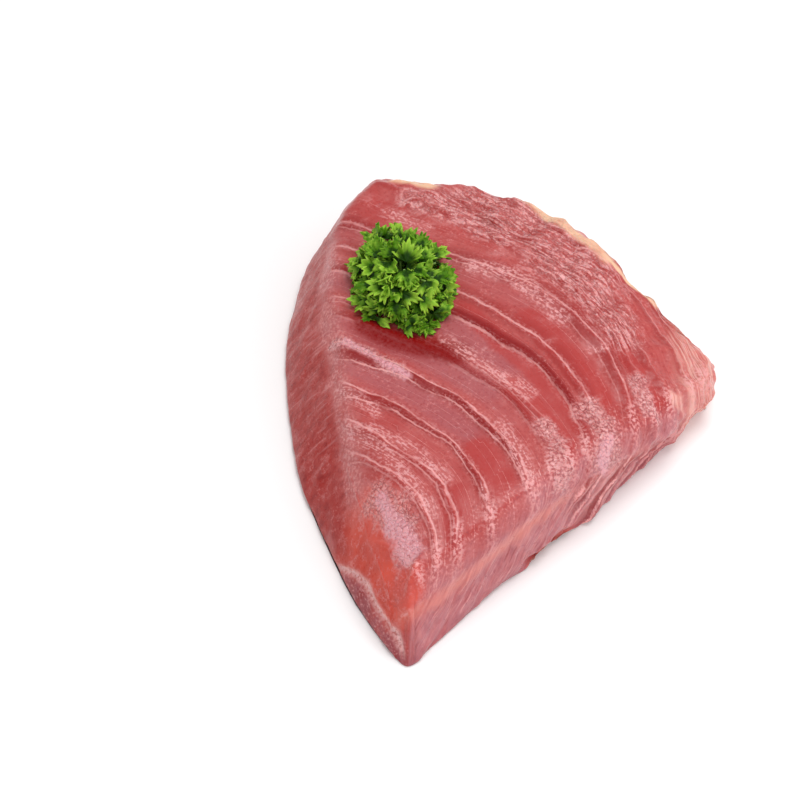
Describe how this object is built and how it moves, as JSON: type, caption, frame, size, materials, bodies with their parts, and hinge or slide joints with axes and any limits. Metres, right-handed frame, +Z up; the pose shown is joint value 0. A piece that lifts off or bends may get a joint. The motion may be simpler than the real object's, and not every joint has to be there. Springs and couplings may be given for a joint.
{
  "type": "raw tuna steak",
  "caption": "Thick wedge of raw tuna loin lying flat, with muscle bands fanning across its top and a sprig of curly parsley resting on it.",
  "frame": {"origin": "middle of the object's footprint, on the surface that it lies on", "axes": "+Z up through the steak's thickness, +Y from the narrow front tip to the skin side at the back, +X to the thin right-hand end"},
  "size_m": [0.1152, 0.1472, 0.0379],
  "materials": {
    "raw_tuna": "moist raw fish flesh, translucent and glossy, pinkish red with pale bands",
    "parsley_leaf": "fresh curly leaf, satin, bright green tips over a dark green heart"
  },
  "bodies": {
    "root": {"tuna_steak": "raw_tuna", "parsley_sprig": "parsley_leaf"}
  },
  "joints": []
}
